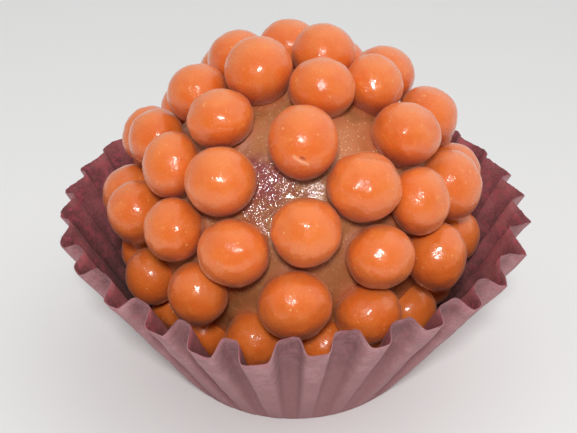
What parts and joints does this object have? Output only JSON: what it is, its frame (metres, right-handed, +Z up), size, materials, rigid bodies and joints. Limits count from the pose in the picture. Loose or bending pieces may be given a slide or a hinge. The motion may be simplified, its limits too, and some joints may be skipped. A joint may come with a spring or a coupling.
{
  "type": "brigadeiro",
  "caption": "Ball of caramel fudge covered all round in glossy crunchy caramel pearls, sitting in a fluted burgundy paper case.",
  "frame": {"origin": "middle of the paper case's base, on the surface that it stands on", "axes": "+Z up out of the case; the side that the picture shows faces -Y, and +X is to its right"},
  "size_m": [0.048, 0.0487, 0.0365],
  "materials": {
    "caramel_pearls": "smooth glossy caramel coating, slightly mottled",
    "caramel_fudge": "soft satin fudge with a fine grain and wet spots",
    "burgundy_paper": "matt, mottled paper, deep burgundy inside and dusty mauve outside"
  },
  "bodies": {
    "root": {"brigadeiro": "caramel_pearls", "paper_case": "burgundy_paper"}
  },
  "joints": []
}
